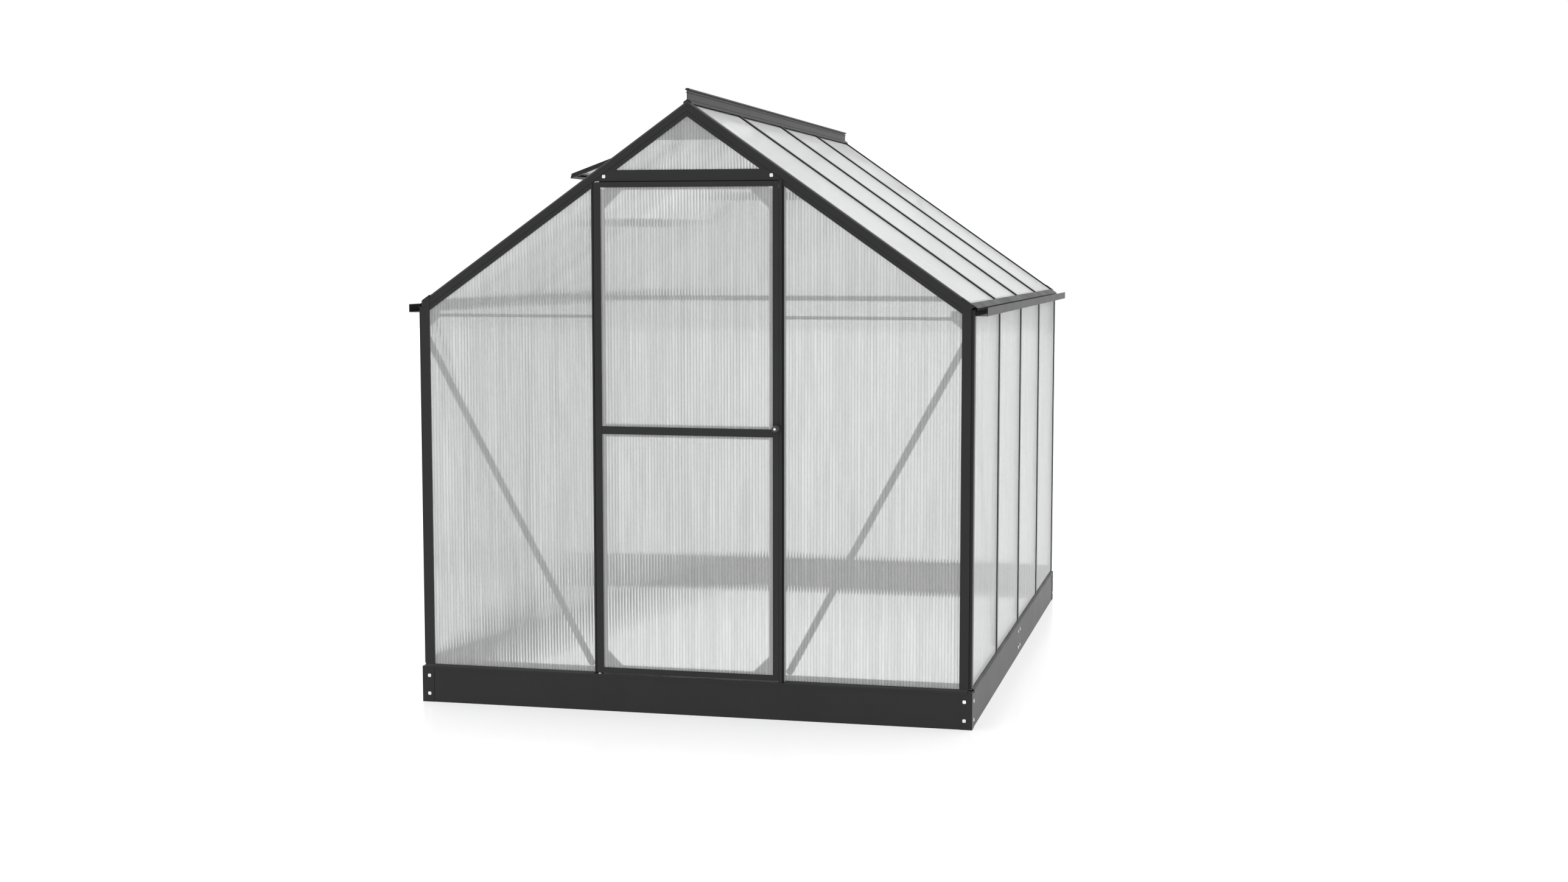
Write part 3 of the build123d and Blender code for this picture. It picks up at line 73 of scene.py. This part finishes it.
# ---------------------------------------------------------------- shader writing
class Wire:
    """A socket of a material. Operators on it add Math nodes; a number may stand on either side."""

    def __init__(self, paint, socket):
        self.paint, self.socket = paint, socket

    def calculate(self, operation, *values):
        """One Math node on sockets and numbers."""
        return self.paint.add("ShaderNodeMath", {"operation": operation}, dict(enumerate(values)))

    def __add__(self, other):
        return self.calculate("ADD", self, other)

    def __radd__(self, other):
        return self.calculate("ADD", other, self)

    def __sub__(self, other):
        return self.calculate("SUBTRACT", self, other)

    def __rsub__(self, other):
        return self.calculate("SUBTRACT", other, self)

    def __mul__(self, other):
        return self.calculate("MULTIPLY", self, other)

    def __rmul__(self, other):
        return self.calculate("MULTIPLY", other, self)

    def __mod__(self, other):
        return self.calculate("FLOORED_MODULO", self, other)

    def __rmod__(self, other):
        return self.calculate("FLOORED_MODULO", other, self)

    def __abs__(self):
        return self.calculate("ABSOLUTE", self)

    def above(self, low, high):
        """0 under low, 1 over high, smooth between them."""
        ramp = {0: self, 1: low, 2: high, 3: 0.0, 4: 1.0}
        return self.paint.add("ShaderNodeMapRange", {"interpolation_type": "SMOOTHSTEP"}, ramp)

    def split(self):
        """The three parts of a vector."""
        parts = self.paint.node("ShaderNodeSeparateXYZ", {}, {0: self})
        return [Wire(self.paint, parts.outputs[i]) for i in range(3)]


class Paint:
    """One material with a Principled shader."""

    def __init__(self, name, **values):
        self.material = bpy.data.materials.new(name)
        self.material.use_nodes = True
        self.tree = self.material.node_tree
        self.shader = self.tree.nodes["Principled BSDF"]
        for socket, value in values.items():
            self.put(self.shader.inputs[socket.replace("_", " ")], value)

    def put(self, socket, value):
        """Link or set one socket. A colour is given as three numbers."""
        if isinstance(value, Wire):
            self.tree.links.new(value.socket, socket)
        elif socket.type == "RGBA":
            socket.default_value = (*value, 1.0)
        else:
            socket.default_value = value

    def node(self, kind, settings, inputs):
        """A new node: its settings first, then its sockets' values or links."""
        made = self.tree.nodes.new(kind)
        for key, value in settings.items():
            setattr(made, key, value)
        for key, value in inputs.items():
            self.put(made.inputs[key], value)
        return made

    def add(self, kind, settings, inputs, output=0):
        """A new node, as the wire that leaves it."""
        return Wire(self, self.node(kind, settings, inputs).outputs[output])

    def place(self, output="Object"):
        """Where a point of the surface is, in the object's own metres or its UV layer."""
        return self.add("ShaderNodeTexCoord", {}, {}, output)

    def noise(self, vector, scale, detail=3.0, roughness=0.5):
        """Cloudy noise about a half."""
        inputs = {"Vector": vector, "Scale": scale, "Detail": detail, "Roughness": roughness}
        return self.add("ShaderNodeTexNoise", {}, inputs, "Fac")

    def stretched(self, vector, factors):
        """A vector multiplied part by part."""
        return self.add("ShaderNodeVectorMath", {"operation": "MULTIPLY"}, {0: vector, 1: factors})

    def blend(self, factor, first, second):
        """A colour between two colours."""
        made = self.node("ShaderNodeMix", {"data_type": "RGBA"}, {0: factor, 6: first, 7: second})
        return Wire(self, made.outputs[2])

    def bump(self, height, distance, strength=1.0):
        """Fine relief, up to a distance in metres."""
        inputs = {"Height": height, "Distance": distance, "Strength": strength}
        self.set("Normal", self.add("ShaderNodeBump", {}, inputs))

    def set(self, name, value):
        """Link or set one socket of the shader."""
        self.put(self.shader.inputs[name], value)


# ---------------------------------------------------------------- materials
def shade(colour, factor):
    """A colour made paler or darker."""
    return tuple(c * factor for c in colour)


def powder_coat(name, colour, dusty, roughness):
    """Satin powder coat: fine orange peel, faint cloudiness, pale dust on faces that look up."""
    paint = Paint(name, Specular_IOR_Level=0.34)
    place = paint.place()
    peel = paint.noise(place, 900.0, 2.0)
    cloud = paint.noise(place, 7.0, 4.0, 0.6)
    speck = paint.noise(place, 2600.0, 1.0).above(0.62, 0.75)
    up = paint.add("ShaderNodeNewGeometry", {}, {}, "Normal").split()[2]
    dust = up.above(0.35, 0.95) * cloud.above(0.3, 0.75)
    pale = tuple(c * 1.25 + 0.002 for c in colour)
    tone = paint.blend(cloud.above(0.35, 0.7) * 0.6 + speck * 0.25, colour, pale)
    tone = paint.blend(dust * dusty, tone, DUST)
    paint.set("Base Color", tone)
    paint.set("Roughness", roughness + cloud * 0.08 + dust * 0.15 - 0.04)
    paint.bump(peel + speck * 0.3, 0.00006, 0.55)
    return paint.material


def twin_wall(name, colour, clearness):
    """Twin-wall polycarbonate: clear lengthwise, with a thin grey rib between flutes and drawn streaks."""
    paint = Paint(name, Specular_IOR_Level=0.5, IOR=1.30, Transmission_Weight=clearness)
    across, along, _ = paint.place("UV").split()
    to_rib = abs(across % 1.0 - 0.5) * 2.0
    rib = to_rib.above(0.55, 0.90)
    flute_no = across - across % 1.0
    place = paint.add("ShaderNodeCombineXYZ", {}, {0: flute_no * 0.37, 1: along * 0.5, 2: 0.0})
    draw = paint.noise(place, 4.0, 3.0, 0.6).above(0.30, 0.70)
    wobble = paint.noise(paint.place(), 95.0, 1.0)
    dim = shade(colour, 0.86)
    rib_grey = shade(colour, 0.74)
    tone = paint.blend(draw, dim, colour)
    tone = paint.blend(rib * 0.8, tone, rib_grey)
    grain = paint.noise(paint.place(), 650.0, 2.0).above(0.35, 0.65)
    tone = paint.blend(grain * 0.14, tone, rib_grey)
    paint.set("Base Color", tone)
    paint.set("Roughness", 0.010 + draw * 0.015)
    paint.bump(wobble, 0.000018)
    return paint.material


def zinc(name, colour, roughness):
    """Zinc plate: fine brushed streaks and soft blotches."""
    paint = Paint(name, Metallic=1.0)
    place = paint.place()
    streak = paint.noise(paint.stretched(place, (3000.0, 300.0, 900.0)), 1.0, 2.0)
    blotch = paint.noise(place, 160.0, 3.0)
    dull = shade(colour, 0.78)
    paint.set("Base Color", paint.blend(blotch.above(0.35, 0.65), dull, colour))
    paint.set("Roughness", roughness + streak * 0.12 + blotch * 0.08)
    paint.bump(streak, 0.00004, 0.5)
    return paint.material


def moulded(name, colour):
    """Moulded plastic with a spark-eroded grain."""
    paint = Paint(name, Specular_IOR_Level=0.5)
    place = paint.place()
    grain = paint.noise(place, 1800.0, 3.0)
    cloud = paint.noise(place, 60.0, 3.0)
    pale = shade(colour, 1.35)
    paint.set("Base Color", paint.blend(cloud.above(0.3, 0.7), colour, pale))
    paint.set("Roughness", 0.32 + grain * 0.14)
    paint.bump(grain, 0.00008, 0.6)
    return paint.material


def studio_floor(name, colour):
    """Pale floor that glows a little, so that shadows on it stay faint."""
    paint = Paint(name, Roughness=0.25, Specular_IOR_Level=0.15, Emission_Color=WHITE, Emission_Strength=0.58)
    tone = paint.noise(paint.place(), 0.7, 2.0)
    paint.set("Base Color", paint.blend(tone, shade(colour, 0.995), colour))
    return paint.material


coat = powder_coat("anthracite_powder_coat", ANTHRACITE, 0.10, 0.45)
base_coat = powder_coat("foundation_powder_coat", ANTHRACITE, 0.16, 0.44)
clear_sheet = twin_wall("twin_wall_sheet", (0.955, 0.965, 0.96), 0.72)
# The same twin-wall sheet made darker: painted shade for the side walls.
side_sheet_painted_shade = twin_wall("twin_wall_sheet_side_painted_shade", (0.885, 0.895, 0.89), 0.72)
bright_zinc = zinc("bright_zinc_bolts", (0.88, 0.88, 0.87), 0.22)
dull_zinc = zinc("dull_zinc_steel", (0.50, 0.50, 0.51), 0.38)
knob_plastic = moulded("knob_plastic", (0.030, 0.030, 0.032))


# ---------------------------------------------------------------- mesh making
def new_piece(name, vertices, faces, material, body, node):
    """A mesh piece that rides on a body and stands for a CAD node."""
    mesh = bpy.data.meshes.new(name)
    mesh.from_pydata(vertices, [], faces)
    mesh.validate()
    mesh.materials.append(material)
    piece = bpy.data.objects.new(name, mesh)
    bpy.context.scene.collection.objects.link(piece)
    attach(piece, body)
    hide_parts(node)
    return piece


def loose_parts(obj):
    """The points of each separate solid of a node."""
    mesh = obj.data
    owner = list(range(len(mesh.vertices)))

    def root(i):
        while owner[i] != i:
            owner[i] = owner[owner[i]]
            i = owner[i]
        return i

    for edge in mesh.edges:
        owner[root(edge.vertices[0])] = root(edge.vertices[1])
    same = {}
    for i, v in enumerate(mesh.vertices):
        key = tuple(round(c, MERGE_DIGITS) for c in v.co)
        if key in same:
            owner[root(i)] = root(same[key])
        same[key] = i
    groups = {}
    for i, v in enumerate(mesh.vertices):
        groups.setdefault(root(i), []).append(v.co.copy())
    return [groups[k] for k in sorted(groups)]


def hull(points):
    """Outline of flat points, anticlockwise."""
    points = sorted(set(points))

    def chain(run):
        kept = []
        for p in run:
            while len(kept) > 1:
                a, b = kept[-2], kept[-1]
                if (b[0] - a[0]) * (p[1] - a[1]) - (b[1] - a[1]) * (p[0] - a[0]) > 1e-12:
                    break
                kept.pop()
            kept.append(p)
        return kept[:-1]

    return chain(points) + chain(points[::-1])


def span_at(outline, u):
    """Lowest and highest point of an outline at one place across it."""
    found = []
    for (u0, v0), (u1, v1) in zip(outline, outline[1:] + outline[:1]):
        if min(u0, u1) - SAME_PLACE <= u <= max(u0, u1) + SAME_PLACE:
            if abs(u1 - u0) < SAME_PLACE:
                found += [v0, v1]
            else:
                t = min(1.0, max(0.0, (u - u0) / (u1 - u0)))
                found.append(v0 + (v1 - v0) * t)
    return min(found), max(found)


def flute_ring(u, outline, skins, step, axes):
    """Points and marks round one cut across a sheet, up its outer skin and down its inner one."""
    u_axis, v_axis, n = axes
    dip = FLUTE_RIPPLE * (0.5 + 0.5 * math.cos(2 * math.pi * step / FLUTE_STEPS)) ** 2
    v0, v1 = span_at(outline, u)
    v1 = max(v1, v0 + THIN_END)
    cut = min(CUT_EDGE, (v1 - v0) / 3)
    rows = (v0, v0 + cut, v1 - cut, v1)
    low, high = skins
    ring = [(v, high - dip) for v in rows] + [(v, low + dip) for v in reversed(rows)]
    points = [u_axis * u + v_axis * v + n * t for v, t in ring]
    return points, [(step / FLUTE_STEPS, v) for v, _ in ring]


def end_faces(start, size, turn):
    """Faces that close one end of a sheet, from the first point of its ring."""
    rungs = range(size // 2 - 1)
    quads = [(start + k, start + k + 1, start + size - 2 - k, start + size - 1 - k) for k in rungs]
    return [quad[::turn] for quad in quads]


def fluted_sheets(node, body, normal, along, finish):
    """Fluted sheets in the place of a node's plain ones: closed slabs whose skins dip over every rib."""
    n, v_axis = normal.normalized(), along.normalized()
    axes = (v_axis.cross(n), v_axis, n)
    vertices, faces, marks = [], [], []
    for points in loose_parts(frame["nodes"][node]):
        flat = [(round(p.dot(axes[0]), MERGE_DIGITS), round(p.dot(v_axis), MERGE_DIGITS)) for p in points]
        outline = hull(flat)
        skins = (min(p.dot(n) for p in points), max(p.dot(n) for p in points))
        u0, u1 = min(u for u, _ in outline), max(u for u, _ in outline)
        count = max(1, round((u1 - u0) / FLUTE)) * FLUTE_STEPS
        first = len(vertices)
        for i in range(count + 1):
            ring, ring_marks = flute_ring(u0 + (u1 - u0) * i / count, outline, skins, i, axes)
            vertices += ring
            marks += ring_marks
        size = len(ring)
        for i in range(count):
            a, b = first + size * i, first + size * (i + 1)
            faces += [(a + k, b + k, b + (k + 1) % size, a + (k + 1) % size) for k in range(size)]
        faces += end_faces(first, size, 1) + end_faces(first + size * count, size, -1)
    piece = new_piece(node + "_fluted", vertices, faces, finish, body, node)
    layer = piece.data.uv_layers.new(name="flutes")
    for loop in piece.data.loops:
        layer.data[loop.index].uv = marks[loop.vertex_index]
    for polygon in piece.data.polygons:
        polygon.use_smooth = abs(polygon.normal.dot(n)) > 0.5


def outward_normal(node):
    """Normal of a sloping sheet's largest face, looking up."""
    widest = max(frame["nodes"][node].data.polygons, key=lambda p: p.area)
    n = widest.normal.copy()
    return n if n.z > 0 else -n


# ---------------------------------------------------------------- finishes on the CAD nodes
FINISHES = {"coated_frame": coat, "foundation_steel": base_coat, "twin_wall_sheet": clear_sheet,
            "zinc_bolts": bright_zinc, "zinc_steel": dull_zinc, "knob_plastic": knob_plastic}
slot_of = {s["node"]: s["material_slot"] for s in frame["record"]["subparts"]}
for node_name, node_object in frame["nodes"].items():
    node_object.data.materials.clear()
    node_object.data.materials.append(FINISHES[slot_of[node_name]])


# ---------------------------------------------------------------- sheets
UPRIGHT_SHEETS = (
    ("front_sheets", "house", (0, -1, 0), clear_sheet),
    ("rear_sheets", "house", (0, 1, 0), clear_sheet),
    # Both side walls take the darker sheet, which paints shade on them.
    ("wall_sheets_left", "house", (-1, 0, 0), side_sheet_painted_shade),
    ("wall_sheets_right", "house", (1, 0, 0), side_sheet_painted_shade),
    ("door_sheets", "door", (0, -1, 0), clear_sheet),
)
SLOPING_SHEETS = (("roof_sheets_left", "house"), ("roof_sheets_right", "house"), ("vent_sheet", "vent"))
for sheet_node, sheet_body, outward, sheet_finish in UPRIGHT_SHEETS:
    fluted_sheets(sheet_node, sheet_body, Vector(outward), UP, sheet_finish)
for sheet_node, sheet_body in SLOPING_SHEETS:
    outward = outward_normal(sheet_node)
    fluted_sheets(sheet_node, sheet_body, outward, outward.cross(ALONG_RIDGE), clear_sheet)


# ---------------------------------------------------------------- studio
def studio():
    """Pale floor, even white surroundings and two soft suns."""
    bpy.ops.mesh.primitive_plane_add(size=FLOOR_SIZE, location=(0, 0, -FLOOR_DROP))
    floor = bpy.context.object
    floor.name = "studio_floor"
    floor.data.materials.append(studio_floor("studio_floor_white", (0.38, 0.38, 0.38)))
    world = bpy.data.worlds.new("studio_world")
    bpy.context.scene.world = world
    world.use_nodes = True
    sky = world.node_tree.nodes["Background"]
    sky.inputs["Color"].default_value = (*WHITE, 1.0)
    sky.inputs["Strength"].default_value = 1.0
    for name, towards, spread, strength in SUNS:
        data = bpy.data.lights.new(name, "SUN")
        data.angle = math.radians(spread)
        data.energy = strength
        lamp = bpy.data.objects.new(name, data)
        bpy.context.scene.collection.objects.link(lamp)
        lamp.rotation_euler = Vector(towards).to_track_quat("Z", "Y").to_euler()


def camera():
    """Camera at head height, out in front of the doorway and to its right."""
    data = bpy.data.cameras.new("camera")
    data.lens = CAMERA_LENS
    data.sensor_width = CAMERA_SENSOR
    data.clip_end = CAMERA_REACH
    eye = bpy.data.objects.new("camera", data)
    bpy.context.scene.collection.objects.link(eye)
    eye.location = CAMERA_AT
    eye.rotation_euler = (math.radians(90 + CAMERA_PITCH), 0, math.radians(CAMERA_YAW))
    bpy.context.scene.camera = eye


studio()
camera()
scene = bpy.context.scene
scene.view_settings.view_transform = "Standard"
scene.cycles.transparent_max_bounces = 24
